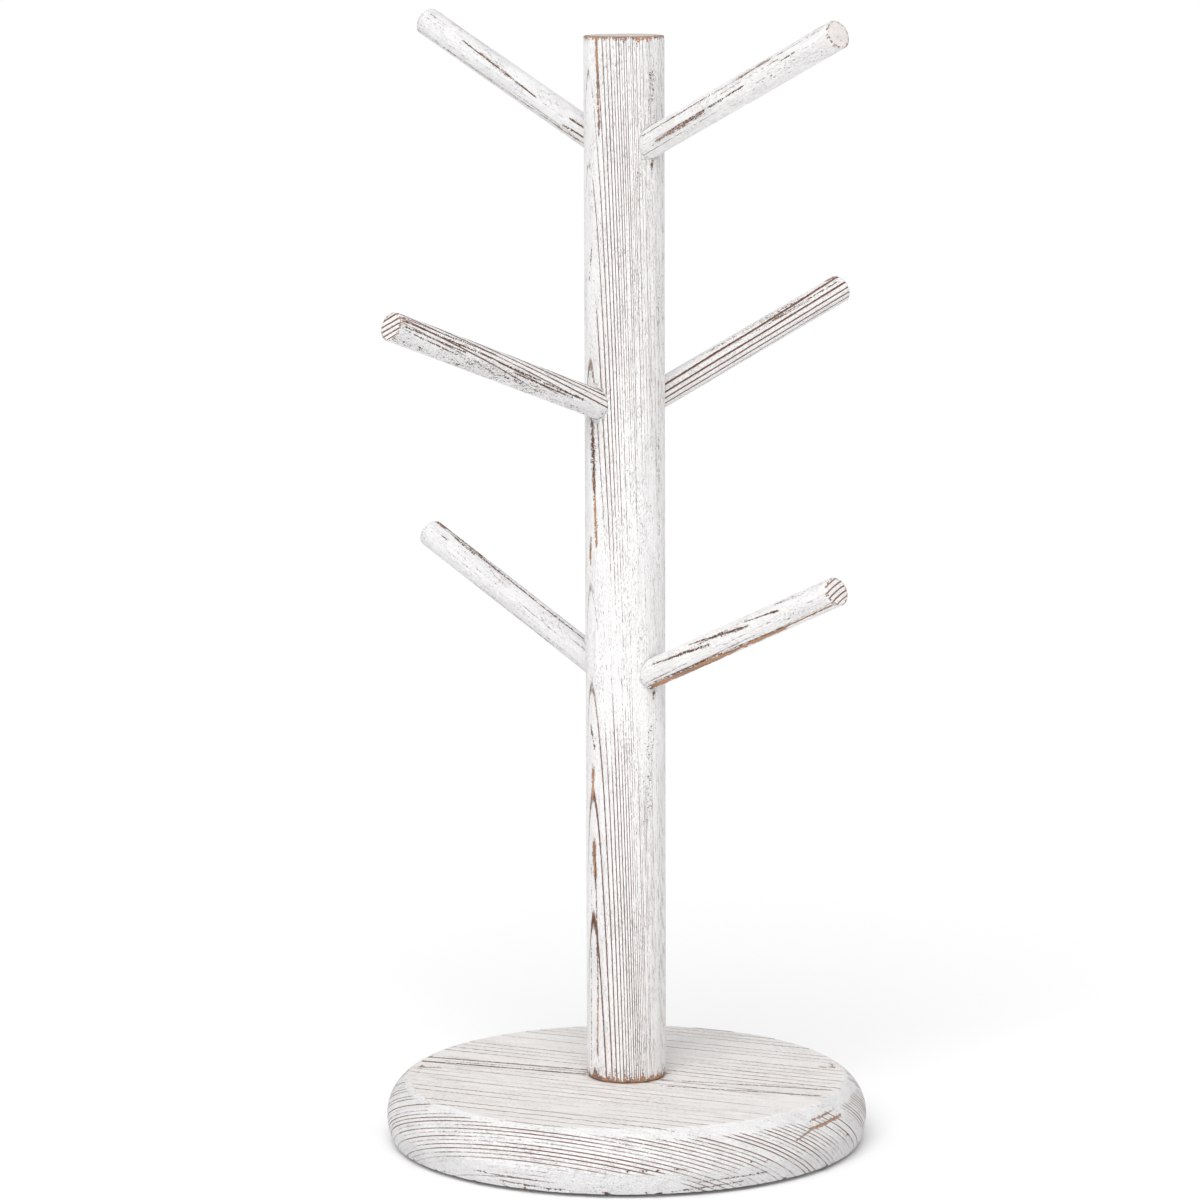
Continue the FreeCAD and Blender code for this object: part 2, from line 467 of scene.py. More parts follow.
class Graph:
    """A material's nodes, built from short calls. Inputs are sockets or plain values."""

    def __init__(self, name):
        self.material = bpy.data.materials.new(name)
        self.material.use_nodes = True
        self.tree = self.material.node_tree
        self.shader = self.tree.nodes["Principled BSDF"]

    def put(self, socket, value):
        if isinstance(value, bpy.types.NodeSocket):
            self.tree.links.new(value, socket)
        else:
            socket.default_value = value

    def attribute(self, name, vector=False):
        node = self.tree.nodes.new("ShaderNodeAttribute")
        node.attribute_name = name
        return node.outputs["Vector"] if vector else node.outputs["Fac"]

    def math(self, operation, first, second=0.0):
        node = self.tree.nodes.new("ShaderNodeMath")
        node.operation = operation
        self.put(node.inputs[0], first)
        self.put(node.inputs[1], second)
        return node.outputs[0]

    def smooth(self, value, low, high, start=0.0, end=1.0):
        node = self.tree.nodes.new("ShaderNodeMapRange")
        node.interpolation_type = "SMOOTHSTEP"
        self.put(node.inputs["Value"], value)
        self.put(node.inputs["From Min"], low)
        self.put(node.inputs["From Max"], high)
        self.put(node.inputs["To Min"], start)
        self.put(node.inputs["To Max"], end)
        return node.outputs["Result"]

    def stretched(self, vector, scale):
        node = self.tree.nodes.new("ShaderNodeVectorMath")
        node.operation = "MULTIPLY"
        self.put(node.inputs[0], vector)
        self.put(node.inputs[1], scale)
        return node.outputs["Vector"]

    def noise(self, vector, scale, detail=2.0, rough=0.55):
        node = self.tree.nodes.new("ShaderNodeTexNoise")
        self.put(node.inputs["Vector"], self.stretched(vector, scale))
        self.put(node.inputs["Scale"], 1.0)
        self.put(node.inputs["Detail"], detail)
        self.put(node.inputs["Roughness"], rough)
        return node.outputs["Fac"]

    def mix(self, factor, first, second):
        node = self.tree.nodes.new("ShaderNodeMix")
        node.data_type = "RGBA"
        self.put(node.inputs["Factor"], factor)
        self.put(node.inputs["A"], first)
        self.put(node.inputs["B"], second)
        return node.outputs["Result"]

    def bump(self, height, distance, strength):
        node = self.tree.nodes.new("ShaderNodeBump")
        self.put(node.inputs["Height"], height)
        self.put(node.inputs["Distance"], distance)
        self.put(node.inputs["Strength"], strength)
        self.put(self.shader.inputs["Normal"], node.outputs["Normal"])


def whitewash_material():
    """Worn white paint on brushed pine: brown lines in the rings, chips and bare wood."""
    g = Graph("whitewash")
    rings = g.attribute("rings")
    lines = g.attribute("lines")
    bare = g.attribute("bare")
    dark = g.attribute("dark")
    thin_and_shade = g.attribute("thin_and_shade")
    even = g.attribute("even")
    width = g.attribute("width")
    grain = g.attribute("grain", vector=True)

    grit = g.noise(grain, (3.3, 3.3, 0.7), 3.0, 0.65)
    coarse = g.noise(grain, (0.9, 0.9, 0.2), 2.0)
    patches = g.noise(grain, (0.3, 0.3, 0.03), 2.0)
    fleck = g.noise(grain, (4.6, 4.6, 1.6), 2.0, 0.7)
    beads = g.noise(grain, (2.0, 2.0, 1.8), 2.0, 0.6)
    rungs = g.noise(grain, (1.1, 1.1, 2.4), 2.0, 0.6)
    grit_swing = g.math("SUBTRACT", grit, 0.5)
    coarse_swing = g.math("SUBTRACT", coarse, 0.5)
    rung_swing = g.math("SUBTRACT", rungs, 0.5)

    def swung(value, fine, broad):
        value = g.math("ADD", value, g.math("MULTIPLY", grit_swing, fine))
        return g.math("ADD", value, g.math("MULTIPLY", coarse_swing, broad))

    part = g.math("FRACT", g.math("ADD", rings, g.math("MULTIPLY", grit_swing, 0.16)))
    rise = g.smooth(part, 0.345, 0.395)
    full = g.math("MULTIPLY", width, g.math("ADD", 0.07, g.math("MULTIPLY", lines, 0.1)))
    tail_start = g.math("ADD", LINE_START, full)
    tail_end = g.math("ADD", tail_start, g.math("MULTIPLY", width, 0.16))
    profile = g.math("MULTIPLY", rise, g.smooth(part, tail_start, tail_end, 1.0, 0.0))
    # Painted shadow: a dark edge along the steep side of each line, where the groove's wall is in
    # shade
    groove_shadow_end = g.math("ADD", LINE_START, g.math("MULTIPLY", width, 0.1))
    groove_shadow = g.math("MULTIPLY", rise, g.smooth(part, LINE_START, groove_shadow_end, 1.0, 0.0))

    calm = g.smooth(even, 0.0, 1.0, 1.0, 0.25)
    swing = g.math("MULTIPLY", swung(0.0, 1.5, 0.9), calm)
    drive = g.math("ADD", lines, swing)
    patch_swing = g.math("MULTIPLY", g.math("SUBTRACT", patches, 0.5), calm)
    drive = g.math("ADD", drive, g.math("MULTIPLY", patch_swing, 0.5))
    shown = g.math("MULTIPLY", profile, g.smooth(drive, 0.14, 0.44))
    beaded = g.math("ADD", beads, g.math("MULTIPLY", drive, 0.4))
    shown = g.math("MULTIPLY", shown, g.smooth(beaded, 0.46, 0.62, 0.35, 1.0))

    fibre = g.noise(grain, (4.2, 4.2, 0.06), 2.0)
    mottle = g.noise(grain, (0.3, 0.3, 0.08), 3.0)
    paint = g.mix(g.smooth(mottle, 0.35, 0.65), srgb(*PAINT), srgb(*PAINT_SHADE))
    paint = g.mix(g.smooth(fibre, 0.45, 0.75, 0.0, 0.35), paint, srgb(*PAINT_FIBRE))
    # The grey veil of thin paint; on the left pegs and the rim's lower part it is painted shade
    veil = g.math("MULTIPLY", thin_and_shade, g.smooth(beads, 0.4, 0.6, 0.5, 1.0))
    veil_and_shade_tone = g.mix(even, srgb(*VEIL_AND_SHADE_GREY), srgb(*VEIL_WARM))
    paint = g.mix(veil, paint, veil_and_shade_tone)

    grubby = g.smooth(lines, 0.0, 0.35, 0.08, 0.32)
    pits = g.smooth(g.noise(grain, (2.9, 2.9, 1.0), 2.0, 0.6), 0.585, 0.66)
    paint = g.mix(g.math("MULTIPLY", pits, grubby), paint, srgb(*PIT))
    dash_noise = g.noise(grain, (4.4, 4.4, 0.75), 2.0, 0.6)
    dash_where = g.noise(grain, (0.2, 0.2, 0.05), 1.0)
    dashes = g.math("MULTIPLY", g.smooth(dash_noise, 0.6, 0.68), g.smooth(dash_where, 0.48, 0.62))
    paint = g.mix(g.math("MULTIPLY", dashes, 0.65), paint, srgb(*DASH))

    tone = g.mix(g.smooth(drive, 0.25, 0.75), srgb(*LINE_FAINT), srgb(*LINE_BOLD))
    # How dark the painted shadow at the groove's steep side is
    groove_shadow_dark = g.math("MULTIPLY", groove_shadow, g.smooth(drive, 0.45, 0.8, 0.0, 0.7))
    tone = g.mix(groove_shadow_dark, tone, srgb(*LINE_SHADOW))
    flecks = g.math("MULTIPLY", g.smooth(fleck, 0.54, 0.64), g.smooth(drive, 0.45, 0.8))
    tone = g.mix(g.math("MULTIPLY", flecks, 0.85), tone, srgb(*LINE_FLECK))
    colour = g.mix(shown, paint, tone)

    ragged = g.math("ADD", swung(bare, 1.2, 0.8), g.math("MULTIPLY", profile, 0.18))
    ragged = g.math("ADD", ragged, g.math("MULTIPLY", rung_swing, 1.1))
    chip = g.smooth(ragged, 0.47, 0.53)
    edge = g.math("MULTIPLY", chip, g.smooth(ragged, 0.53, 0.64, 1.0, 0.0))
    worn_tone = g.noise(grain, (0.35, 0.35, 0.06), 2.0)
    wood = g.mix(g.smooth(worn_tone, 0.4, 0.6), srgb(*WOOD_FRESH), srgb(*WOOD_AGED))
    wood = g.mix(g.smooth(fleck, 0.5, 0.66, 0.0, 0.7), wood, srgb(*WOOD_FLECK))
    wood = g.mix(g.math("MULTIPLY", edge, 0.75), wood, srgb(*CHIP_EDGE))
    wood = g.mix(thin_and_shade, wood, srgb(*WOOD_VEILED))
    colour = g.mix(chip, colour, wood)

    ragged_stain = g.math("ADD", swung(0.0, 1.2, 0.6), g.math("MULTIPLY", rung_swing, 1.5))
    ragged_stain = g.math("ADD", ragged_stain, g.math("MULTIPLY", profile, 0.15))
    stained = g.math("ADD", dark, g.math("MULTIPLY", ragged_stain, calm))
    stain = g.smooth(stained, 0.48, 0.58)
    colour = g.mix(stain, colour, g.mix(fleck, srgb(*STAIN_DEEP), srgb(*STAIN_WORN)))
    g.put(g.shader.inputs["Base Color"], colour)

    open_wood = g.math("MAXIMUM", g.math("MAXIMUM", shown, chip), stain)
    g.put(g.shader.inputs["Roughness"], g.smooth(open_wood, 0.0, 1.0, 0.58, 0.8))
    g.shader.inputs["Specular IOR Level"].default_value = 0.35

    height = g.math("MULTIPLY", open_wood, -1.0)
    height = g.math("SUBTRACT", height, g.math("MULTIPLY", dashes, 0.6))
    height = g.math("SUBTRACT", height, g.math("MULTIPLY", pits, 0.45))
    height = g.math("ADD", height, g.math("MULTIPLY", fibre, 0.35))
    height = g.math("ADD", height, g.math("MULTIPLY", grit, 0.4))
    g.bump(height, PAINT_BUMP, 0.9)
    return g.material


def steel_material():
    """Zinc-plated steel with fine turning marks."""
    g = Graph("zinc_steel")
    where = g.tree.nodes.new("ShaderNodeTexCoord").outputs["Object"]
    cloud = g.noise(where, (260.0, 260.0, 260.0), 3.0)
    marks = g.noise(where, (900.0, 900.0, 6000.0), 2.0)
    g.put(g.shader.inputs["Base Color"], g.mix(cloud, srgb(*ZINC_DULL), srgb(*ZINC_BRIGHT)))
    g.put(g.shader.inputs["Roughness"], g.smooth(marks, 0.3, 0.7, 0.28, 0.45))
    g.shader.inputs["Metallic"].default_value = 1.0
    g.bump(marks, STEEL_BUMP, 0.5)
    return g.material


def rubber_material():
    """Matt dark foam rubber with a fine pebbled skin."""
    g = Graph("foam_rubber")
    where = g.tree.nodes.new("ShaderNodeTexCoord").outputs["Object"]
    pebble = g.noise(where, (2600.0, 2600.0, 2600.0), 2.0)
    dust = g.noise(where, (400.0, 400.0, 400.0), 3.0)
    g.put(g.shader.inputs["Base Color"], g.mix(dust, srgb(*RUBBER), srgb(*RUBBER_DUST)))
    g.put(g.shader.inputs["Roughness"], g.smooth(dust, 0.3, 0.7, 0.8, 0.95))
    g.bump(pebble, RUBBER_BUMP, 0.7)
    return g.material


WHITEWASH = whitewash_material()


# ---------------------------------------------------------------- pieces


def reach_along(node, place, direction):
    """How far a CAD node runs each way along an axis from a point on it, in mm."""
    mesh = frame["nodes"][node].data
    values = np.zeros(len(mesh.vertices) * 3, np.float32)
    mesh.vertices.foreach_get("co", values)
    corners = values.reshape(-1, 3) / MM
    reach = (corners - np.array(place)) @ np.array(direction)
    return float(reach.min()), float(reach.max())


def peg_axes():
    """Every peg's node with a point on its axis, its direction and its radius."""
    found = {}
    for mount in frame["record"]["mounts"]:
        if mount["name"].endswith("_hook"):
            node = mount["name"][: -len("_hook")]
            place = Vector(mount["pos_m"]) / MM
            found[node] = (place, Vector(mount["axis"]).normalized(), mount["dims"]["r_mm"])
    return found


# Each peg's own grain. face is the direction of the bark side in degrees round the peg.
PEG_WOODS = {
    "peg_top_right": dict(face=110, seed=31, lines=-0.1, spread=0.25, rings=(1.6, 1.3, 6)),
    "peg_top_left": dict(face=116, seed=47, lines=-0.15, spread=0.25, rings=(2.0, 1.5, 6)),
    "peg_middle_right": dict(face=80, seed=53, lines=0.95, spread=0.25, rings=(2.5, 1.6, 5)),
    "peg_middle_left": dict(
        face=118, seed=61, lines=0.85, spread=0.35, rings=(1.9, 1.8, 6), tilt=0.1,
        wander=0.4, faint=0.3, deep=9.0,
    ),
    "peg_bottom_right": dict(
        face=113, seed=71, lines=-0.02, spread=0.3, rings=(1.9, 1.7, 6), tilt=0.03
    ),
    "peg_bottom_left": dict(face=122, seed=83, lines=-0.02, spread=0.4, rings=(2.2, 1.5, 6)),
}
PEG_COMMON = dict(
    pith=40, reach=5.1, tilt=0.012, wander=0.3, lump=(7, 60), faint=0.0, deep=8.0,
    relief=0.16, dents=0.05,
)
POST_WOOD = dict(
    face=-146, pith=70, reach=14, tilt=0.022, wander=0.32, lump=(16, 110), seed=11,
    rings=(1.3, 0.56, 4.6), lines=0.8, spread=0.3, faint=0.42, deep=15.0,
    relief=0.2, dents=0.05,
)
BASE_WOOD = dict(
    face=54.7, pith=700, reach=60, tilt=0.0, wander=0.32, lump=(26, 110), seed=23,
    rings=(1.38, 1.38, 30.0), lines=0.56, spread=0.24, faint=0.0, deep=30.0,
    relief=0.2, dents=0.05,
)
BASE_GRAIN_HEADING = -22.8

# Marks on the base's rim, as (mm up, degrees round)
BASE_GASH = [
    ((14.6, -44), (16.8, -38), 0.4, 0.75),
    ((16.8, -38), (17.5, -25), 0.58, 0.88),
    ((19.2, -37), (19.7, -27), 0.36, 0.72),
]
BASE_SEAMS = [
    ((5.8, -125), (5.3, -108), 0.28, 0.7),
    ((3.7, -119), (2.4, -104), 0.28, 0.75),
    ((5.3, -71), (5.8, -54), 0.28, 0.7),
    ((2.4, -76), (3.7, -60), 0.28, 0.75),
]
# Long lines across the flat top, as (mm across the grain, mm along it)
BASE_DOUBLE = [
    ((-4.6, -76), (1.2, -14), 1.4, 0.64),
    ((-8.2, -75), (-2, -14), 1.2, 0.56),
    ((-11, -75), (-5, -14), 1.4, 0.66),
    ((-1.4, 14), (9, 74), 1.3, 0.6),
    ((-9.4, 18), (0, 74), 1.3, 0.63),
]
# Bare spots on the flat top, as (mm across the grain, mm along it)
BASE_SPOTS = [((-19.5, -71.4), (-17.5, -66.6), 1.1, 0.72), ((39.3, 58.7), (40.8, 62.3), 1.0, 0.7)]
# Chips at the flat top's edge, as (mm from the middle, degrees round)
BASE_CHIPS = [
    ((74.3, 171), (73.9, 174), 0.7, 0.7),
    ((74.0, 178.5), (74.0, 179.5), 0.6, 0.7),
    ((74.6, 10), (75.0, 13), 0.7, 0.7),
    ((75.6, 160), (75.6, 161), 0.8, 0.75),
]

# The base's widest ring: its height, and the dark dots along it (mm, and degrees round)
GIRTH_HEIGHT = 10.2
GIRTH_WIDTH = 0.45
GIRTH_MIDDLE = -60.0
GIRTH_REACH = (48, 38)
LOWEST_WIDTH = 1.1  # the dotted line round the foot of the rim
DOT_DARK = 0.75
# Where the base's lines are fainter, and by how much
LOW_RIM_FADE = 0.3
FRONT_RIM_FADE = 0.6
LEFT_RIM_FADE = 0.2
FLAT_FADE = 0.12
FLAT_ODD_FADE = 0.7  # every other ring nearly goes on the flat
# A painted highlight: the lines fade in a plain band just outside the flat top, standing in for
# the light caught by the roundover; its width, and what the front adds to it
HIGHLIGHT_BAND_FADE = 0.9
HIGHLIGHT_BAND_WIDTH = 1.3
HIGHLIGHT_BAND_SPREAD = 2.6
# How thin the paint is, from 0 to 1, save for the lower rim's share, which is painted shade
FLAT_THIN = 0.3
RIM_THIN = 0.5
# Painted shade: extra grey on the rim below its widest ring, standing in for the shade on its
# downward-facing part
LOW_RIM_SHADE = 0.4
PEG_THIN_ALL = 0.08
POST_THIN_ALL = 0.12

# Worn spots and edges, where about half or more shows bare wood, fading over so many mm
WORN_START = -0.12
BASE_WORN = 0.4
PEG_WORN = 0.45
PEG_EDGE_WORN = 0.66
PEG_EDGE_FADE = 0.55
POST_EDGE_WORN = 0.9
POST_TOP_FADE = 1.2
POST_FOOT_FADE = 2.9
POST_EDGE_RAGGED = 0.7
END_DEPTH = 0.3  # how far down its side a rod's end face's paint comes

# Marks of wear: (start, end, half width, amount), start and end as (degrees round, mm along).
# Along is up the post from the table, and out along a peg from the middle of its hook.
POST_BOLD = [
    ((-115, 24), (-113, 146), 4.5, 0.5),
    ((-112, 214), (-112, 268), 5.5, 0.2),
    ((-90, 330), (-92, 390), 7.0, 0.22),
    ((-120, 212), (-118, 262), 3.5, 0.3),
]
POST_PALE = [
    ((-108, 163), (-108, 210), 20.0, 0.78),
    ((-146, 300), (-146, 390), 4.5, 0.9),
    ((-148, 262), (-148, 300), 4.0, 0.4),
    ((-146, 24), (-146, 50), 2.6, 0.95),
    ((-40, 30), (-40, 380), 5.0, 0.12),
]
POST_BARE = [
    ((-126, 357), (-131, 390), 0.6, 0.8),
    ((-139, 98), (-142, 108), 1.1, 0.95),
    ((-133, 52), (-138, 94), 0.45, 0.7),
    ((-135, 32), (-134, 52), 0.5, 0.75),
    ((-134, 214), (-141, 246), 0.8, 0.75),
    ((-45, 345.4), (-44, 346.2), 0.9, 0.62),
    ((-43, 161), (-43, 162), 0.9, 0.62),
    ((-146, 126), (-143, 134), 1.0, 0.8),
    ((-149, 208), (-147, 216), 0.8, 0.75),
    ((-30, 200), (-31, 300), 0.25, 0.5),
]
POST_DARK = [
    ((-139, 240), (-143, 258), 1.5, 0.74),
    ((-137, 232), (-138, 245), 0.8, 0.65),
    ((-46, 345.6), (-45, 346.2), 0.5, 0.85),
    ((-43, 161.2), (-42, 161.8), 0.45, 0.8),
    ((-150, 25), (-149, 100), 0.4, 0.55),
    ((-138, 92), (-139, 104), 0.7, 0.7),
    ((-134, 55), (-137, 90), 0.35, 0.68),
    ((-140, 143), (-148, 149), 0.7, 0.7),
    ((-149, 306), (-141, 319), 0.35, 0.62),
    ((-47, 369), (-46, 377), 1.6, 0.42),
    ((-44, 350), (-42, 384), 3.0, 0.2),
    ((-52, 120), (-50, 150), 2.0, 0.3),
    ((-64, 338), (-62, 356), 2.0, 0.26),
]
PEG_BARE = {
    "peg_top_right": [
        ((204, -43), (200, -34), 0.5, 0.72),
        ((201, -36), (198, -26), 1.0, 0.7),
        ((198, -26), (195, -17), 0.7, 0.62),
        ((146, 3), (142, 18), 0.7, 0.7),
        ((150, -40), (140, 40), 0.25, 0.5),
    ],
    "peg_top_left": [((34, -6), (44, 14), 0.5, 0.6), ((-22, -50), (-30, -34), 0.6, 0.6)],
    "peg_middle_right": [((80, 44), (84, 48), 1.6, 0.8), ((132, -10), (136, 34), 0.35, 0.5)],
    "peg_middle_left": [((22, 30), (40, 48), 0.35, 0.5)],
    "peg_bottom_right": [
        ((254, -49), (250, -8), 2.3, 0.82),
        ((250, -8), (246, 20), 1.4, 0.74),
        ((242, 20), (236, 46), 0.45, 0.75),
    ],
    "peg_bottom_left": [
        ((112, -40), (114, 47), 0.5, 0.6),
        ((96, 43), (100, 48), 1.0, 0.75),
    ],
}
PEG_DARK = {
    "peg_top_right": [
        ((206, -42), (200, -18), 0.3, 0.62),
        ((196, -36), (193, -16), 0.3, 0.6),
        ((193, -14), (187, 4), 0.45, 0.62),
        ((176, 25), (174, 31), 0.35, 0.75),
        ((154, -48), (142, 44), 0.3, 0.56),
    ],
    "peg_top_left": [
        ((26, -20), (44, 24), 0.35, 0.72),
        ((4, -50), (-4, -38), 0.5, 0.74),
        ((38, -50), (33, -39), 0.5, 0.74),
        ((-24, -46), (-36, 47), 0.35, 0.56),
    ],
    "peg_middle_right": [((128, 10), (126, 44), 0.4, 0.6), ((100, -20), (104, 30), 1.2, 0.42)],
    "peg_middle_left": [
        ((14, 6), (30, 47), 0.45, 0.75),
        ((34, 4), (46, 47), 0.4, 0.66),
        ((-2, -18), (8, 2), 0.45, 0.8),
        ((-24, 18), (-6, 44), 0.4, 0.6),
        ((-40, -20), (-30, 14), 2.2, 0.4),
        ((-2, 18), (8, 46), 0.35, 0.7),
        ((-20, -34), (-10, -6), 0.4, 0.66),
        ((-12, -40), (-4, -20), 0.4, 0.62),
        ((-66, -46), (-60, 47), 3.6, 0.3),
    ],
    "peg_bottom_right": [
        ((157, -43), (170, -25), 0.5, 0.7),
        ((166, -30), (178, -14), 0.7, 0.68),
        ((140, -24), (158, -8), 0.5, 0.7),
        ((154, -12), (172, 6), 0.75, 0.7),
        ((150, 6), (165, 23), 0.45, 0.7),
        ((130, 22), (138, 36), 1.0, 0.45),
        ((228, -47), (232, -10), 0.4, 0.68),
        ((232, -10), (238, 24), 0.35, 0.62),
    ],
    "peg_bottom_left": [
        ((82, -40), (90, 47), 0.4, 0.68),
        ((108, -30), (112, 47), 0.3, 0.6),
        ((52, 36), (54, 39), 0.4, 0.75),
        ((104, 20), (106, 47), 0.6, 0.72),
        ((76, 22), (84, 34), 0.5, 0.62),
        ((-34, -30), (-30, 10), 0.4, 0.5),
    ],
}
# Where a peg's lines fade, and where the paint over its chips is thin and grey
PEG_PALE = {"peg_middle_left": [((-66, -52), (-60, 48), 4.2, 0.95)]}
PEG_THIN = {"peg_top_right": [((202, -42), (196, -16), 1.4, 0.9), ((146, 0), (142, 20), 1.2, 0.7)]}

# How far the wood shows through the paint on a peg's end, and its rings' added strength
PEG_ENDS = {
    "peg_top_right": (0.6, -0.1),
    "peg_bottom_right": (0.2, 0.6),
    "peg_middle_left": (0.1, 0.9),
}
PLAIN_END = (0.35, -0.1)
# Painted shade: how grey the paint is along the left pegs, standing in for the shade on these
# pegs, which point away from the light
PEG_SHADE_GREY = {"peg_top_left": 0.55, "peg_bottom_left": 0.5, "peg_middle_left": 0.3}
# The gap that shows round a peg where it enters the post
PEG_GAPS = {"peg_middle_left": 0.16}


def make_peg(node, place, direction, radius):
    """A dowel with its own grain, from the tenon's end to the tip."""
    up = Vector((0, 0, 1))
    side = up.cross(direction).normalized()
    rise = direction.cross(side)
    turn = Matrix((side, rise, direction)).transposed()
    low, high = reach_along(node, place, direction)
    profile = rod_profile(
        radius, low, high, TENON_CHAMFER, PEG_CHAMFER, PEG_COLUMNS, PEG_STEP
    )
    points, faces = turned(profile)
    wood = {**PEG_COMMON, **PEG_WOODS[node]}
    rim = PEG_EDGE_WORN * np.exp(-np.maximum(high - points[:, 2], 0) / PEG_EDGE_FADE)
    edge = smoothstep(np.hypot(points[:, 0], points[:, 1]), radius - 1.0, radius - 0.2)
    worn = PEG_WORN * ripple(points, (2.5, 2.5, 16.0), wood["seed"] + 9) + WORN_START
    bare = np.maximum(rim * edge, worn)
    bare = np.maximum(bare, rod_marks(points, radius, PEG_BARE[node]))
    dark = rod_marks(points, radius, PEG_DARK[node])
    tip = smoothstep(points[:, 2], high - END_DEPTH, high)
    veil, ringed = PEG_ENDS.get(node, PLAIN_END)
    added = ringed * tip - rod_marks(points, radius, PEG_PALE.get(node, []))
    thin_and_shade = np.maximum(veil * tip, rod_marks(points, radius, PEG_THIN.get(node, [])))
    # The left pegs' grey is painted shade
    thin_and_shade = np.maximum(thin_and_shade, PEG_SHADE_GREY.get(node, PEG_THIN_ALL) * (1 - tip))
    wear = (bare, dark, added, thin_and_shade, tip)
    mesh = carve(node + "_wood", points, faces, np.eye(3), wood, wear)
    stand(mesh, node, Matrix.Translation(place) @ turn.to_4x4())


def drill(piece, pegs):
    """Cut the pegs' blind holes in the post."""
    cutters = []
    for node, (place, direction, radius) in pegs.items():
        depth, _ = reach_along(node, place, direction)
        wide = radius + PEG_GAPS.get(node, PEG_HOLE_GAP)
        end = depth + DRILL_LENGTH
        hole = [(wide, depth, HOLE_COLUMNS), (wide, end, HOLE_COLUMNS)]
        points, faces = turned([(0, depth, 1), *hole, (0, end, 1)])
        mesh = new_mesh(node + "_hole", points, faces)
        spin = direction.to_track_quat("Z", "Y").to_matrix().to_4x4()
        mesh.transform(Matrix.Scale(MM, 4) @ Matrix.Translation(place) @ spin)
        cutter = bpy.data.objects.new(mesh.name, mesh)
        bpy.context.scene.collection.objects.link(cutter)
        cutters.append(cutter)
    for cutter in cutters:
        cut = piece.modifiers.new("hole", "BOOLEAN")
        cut.operation = "DIFFERENCE"
        cut.solver = "EXACT"
        cut.object = cutter
    view_layer = bpy.context.view_layer
    view_layer.update()
    graph = bpy.context.evaluated_depsgraph_get()
    mesh = bpy.data.meshes.new_from_object(piece.evaluated_get(graph), depsgraph=graph)
    piece.modifiers.clear()
    piece.data = mesh
    for cutter in cutters:
        bpy.data.objects.remove(cutter)


def make_post(pegs):
    low, high = (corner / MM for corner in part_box("post"))
    radius = (high.x - low.x) / 2
    profile = rod_profile(
        radius, low.z, high.z, FOOT_CHAMFER, POST_CHAMFER, POST_COLUMNS, POST_STEP
    )
    points, faces = turned(profile)
    edge = smoothstep(np.hypot(points[:, 0], points[:, 1]), radius - 2.2, radius - 0.6)
    ragged = 1 + POST_EDGE_RAGGED * ripple(points, (1.3, 1.3, 9.0), 97)
    top = np.exp(-np.maximum(high.z - points[:, 2], 0) / (POST_TOP_FADE * ragged))
    foot = np.exp(-np.maximum(points[:, 2] - low.z, 0) / (POST_FOOT_FADE * ragged))
    bare = POST_EDGE_WORN * np.maximum(top, foot) * edge
    bare = np.maximum(bare, rod_marks(points, radius, POST_BARE))
    dark = rod_marks(points, radius, POST_DARK)
    added = rod_marks(points, radius, POST_BOLD) - rod_marks(points, radius, POST_PALE)
    head = smoothstep(points[:, 2], high.z - END_DEPTH, high.z)
    wear = (bare, dark, added, np.maximum(head, POST_THIN_ALL), head)
    mesh = carve("post_wood", points, faces, np.eye(3), POST_WOOD, wear)
    drill(stand(mesh, "post"), pegs)


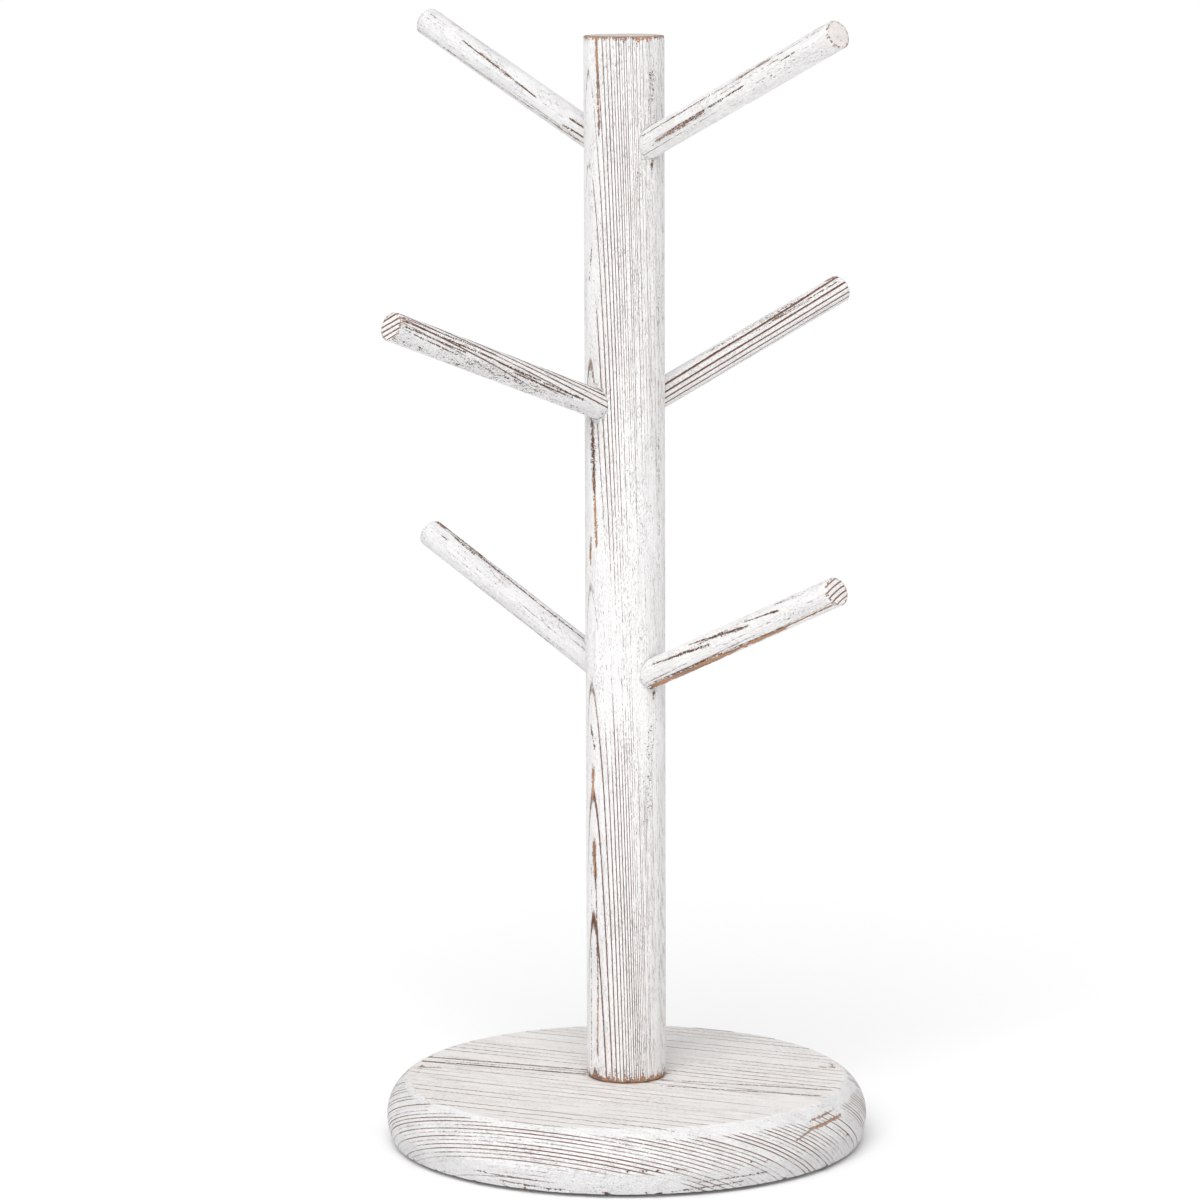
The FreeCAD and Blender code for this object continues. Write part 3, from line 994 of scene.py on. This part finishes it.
def make_base():
    low, high = (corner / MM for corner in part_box("base"))
    radius = (high.x - low.x) / 2
    points, faces = turned(base_profile(low.z, high.z, radius), closed=True)
    angle = math.radians(BASE_GRAIN_HEADING)
    across_grain = (-math.sin(angle), math.cos(angle), 0)
    along_grain = (math.cos(angle), math.sin(angle), 0)
    turn = np.array([across_grain, (0, 0, 1), along_grain])
    grain = points @ turn.T
    out = np.hypot(points[:, 0], points[:, 1])
    heading = np.degrees(np.arctan2(points[:, 1], points[:, 0]))
    height = points[:, 2]
    above = height > GIRTH_HEIGHT
    rim = smoothstep(out, BASE_FLAT_RADIUS - 1, BASE_FLAT_RADIUS + 2)
    flat = (1 - rim) * smoothstep(height, high.z - 1, high.z)

    worn = BASE_WORN * ripple(points, (5.0, 5.0, 2.5), 101) + WORN_START
    bare = np.maximum(worn, streaks(height, heading, BASE_GASH)) * rim
    bare = np.maximum(bare, streaks(out, heading, BASE_CHIPS) * above)
    bare = np.maximum(bare, flat * streaks(grain[:, 0], grain[:, 2], BASE_SPOTS))

    dots = ripple(points, (1.6, 1.6, 3.0), 103)
    girth = np.exp(-((height - GIRTH_HEIGHT) / GIRTH_WIDTH) ** 2) * smoothstep(dots, 0.1, 0.5)
    girth *= smoothstep(np.abs(heading - GIRTH_MIDDLE), *GIRTH_REACH)
    lowest = np.exp(-((height - low.z) / LOWEST_WIDTH) ** 2) * smoothstep(dots, 0.2, 0.6)
    seams = streaks(height, heading, BASE_SEAMS)
    dark = np.maximum(DOT_DARK * np.maximum(girth, lowest), seams) * rim
    dark = np.maximum(dark, flat * streaks(grain[:, 0], grain[:, 2], BASE_DOUBLE))

    odd = np.floor(ring_count(ring_depth(grain, BASE_WOOD), BASE_WOOD)) % 2
    below = smoothstep(-height, 0.5 - GIRTH_HEIGHT, 2 - GIRTH_HEIGHT)
    front = smoothstep(np.abs(heading + 90), 18, 12)
    left = smoothstep(np.abs(heading + 150), 45, 25)
    # Painted highlight: the band where the lines fade, just outside the flat top and wider towards
    # the front
    spread = HIGHLIGHT_BAND_SPREAD * smoothstep(heading, -125, -60) * (heading < 0)
    highlight_band = BASE_FLAT_RADIUS + HIGHLIGHT_BAND_WIDTH + spread - out
    added = -flat * (FLAT_FADE + FLAT_ODD_FADE * odd)
    added -= rim * below * (LOW_RIM_FADE + FRONT_RIM_FADE * front)
    added -= HIGHLIGHT_BAND_FADE * rim * smoothstep(highlight_band, -1.2, 0.6) * above
    added -= LEFT_RIM_FADE * rim * left
    # The lower rim's share of this grey is painted shade
    thin_and_shade = FLAT_THIN * flat + rim * (RIM_THIN + LOW_RIM_SHADE * below)
    mesh = carve("base_wood", points, faces, turn, BASE_WOOD, (bare, dark, added, thin_and_shade, flat))
    stand(mesh, "base")


def dress(node, material):
    """Give a carried-over CAD node its own material."""
    slots = frame["nodes"][node].data.materials
    slots.clear()
    slots.append(material)


# ---------------------------------------------------------------- studio


FLOOR_REACH = 20.0
# The key light: heading, height and softness in degrees, and strength
KEY_HEADING = -99.0
KEY_HEIGHT = 46.0
KEY_SPREAD = 44.0
KEY_STRENGTH = 2.0
SKY_COLOUR = (0.985, 0.99, 1.0, 1.0)
SKY_STRENGTH = 0.61


def make_floor():
    """A pale floor that the object stands on."""
    g = Graph("studio_floor")
    where = g.tree.nodes.new("ShaderNodeTexCoord").outputs["Object"]
    cloud = g.noise(where, (0.4, 0.4, 0.4), 2.0)
    g.put(g.shader.inputs["Base Color"], g.mix(cloud, srgb(*FLOOR), srgb(*FLOOR_CLOUD)))
    g.shader.inputs["Roughness"].default_value = 0.9
    corners = np.array([[-1, -1, 0], [1, -1, 0], [1, 1, 0], [-1, 1, 0]]) * FLOOR_REACH
    mesh = new_mesh("floor", corners, [(0, 1, 2, 3)])
    mesh.materials.append(g.material)
    floor = bpy.data.objects.new("floor", mesh)
    bpy.context.scene.collection.objects.link(floor)


def make_sun(name, heading, height, strength, spread):
    """Soft light from far off, from a heading and a height in degrees."""
    data = bpy.data.lights.new(name, "SUN")
    data.energy = strength
    data.angle = math.radians(spread)
    light = bpy.data.objects.new(name, data)
    light.rotation_euler = (math.radians(90 - height), 0, math.radians(heading + 90))
    bpy.context.scene.collection.objects.link(light)


def make_studio():
    world = bpy.data.worlds.new("studio")
    world.use_nodes = True
    sky = world.node_tree.nodes["Background"]
    sky.inputs["Color"].default_value = SKY_COLOUR
    sky.inputs["Strength"].default_value = SKY_STRENGTH
    bpy.context.scene.world = world
    make_sun("key", KEY_HEADING, KEY_HEIGHT, KEY_STRENGTH, KEY_SPREAD)
    scene = bpy.context.scene
    scene.view_settings.view_transform = "Standard"
    scene.view_settings.look = "None"


def make_camera():
    data = bpy.data.cameras.new("camera")
    data.lens = CAMERA_LENS
    data.sensor_width = SENSOR_WIDTH
    data.clip_end = CAMERA_CLIP
    camera = bpy.data.objects.new("camera", data)
    turn = math.radians(CAMERA_AZIMUTH)
    level = Vector((math.sin(turn), -math.cos(turn), 0)) * CAMERA_DISTANCE
    heading = Matrix.Rotation(math.radians(CAMERA_AZIMUTH + CAMERA_LEFT), 4, "Z")
    tilt = Matrix.Rotation(math.radians(90 - CAMERA_DOWN), 4, "X")
    roll = Matrix.Rotation(math.radians(CAMERA_ROLL), 4, "Z")
    place = Matrix.Translation(level + Vector((0, 0, CAMERA_HEIGHT)))
    camera.matrix_world = place @ heading @ tilt @ roll
    bpy.context.scene.collection.objects.link(camera)
    bpy.context.scene.camera = camera


pegs = peg_axes()
make_base()
make_post(pegs)
for peg_node, (peg_place, peg_direction, peg_radius) in pegs.items():
    make_peg(peg_node, peg_place, peg_direction, peg_radius)
dress("post_screw", steel_material())
rubber = rubber_material()
for pad_node in frame["nodes"]:
    if pad_node.startswith("pad_"):
        dress(pad_node, rubber)
make_floor()
make_studio()
make_camera()
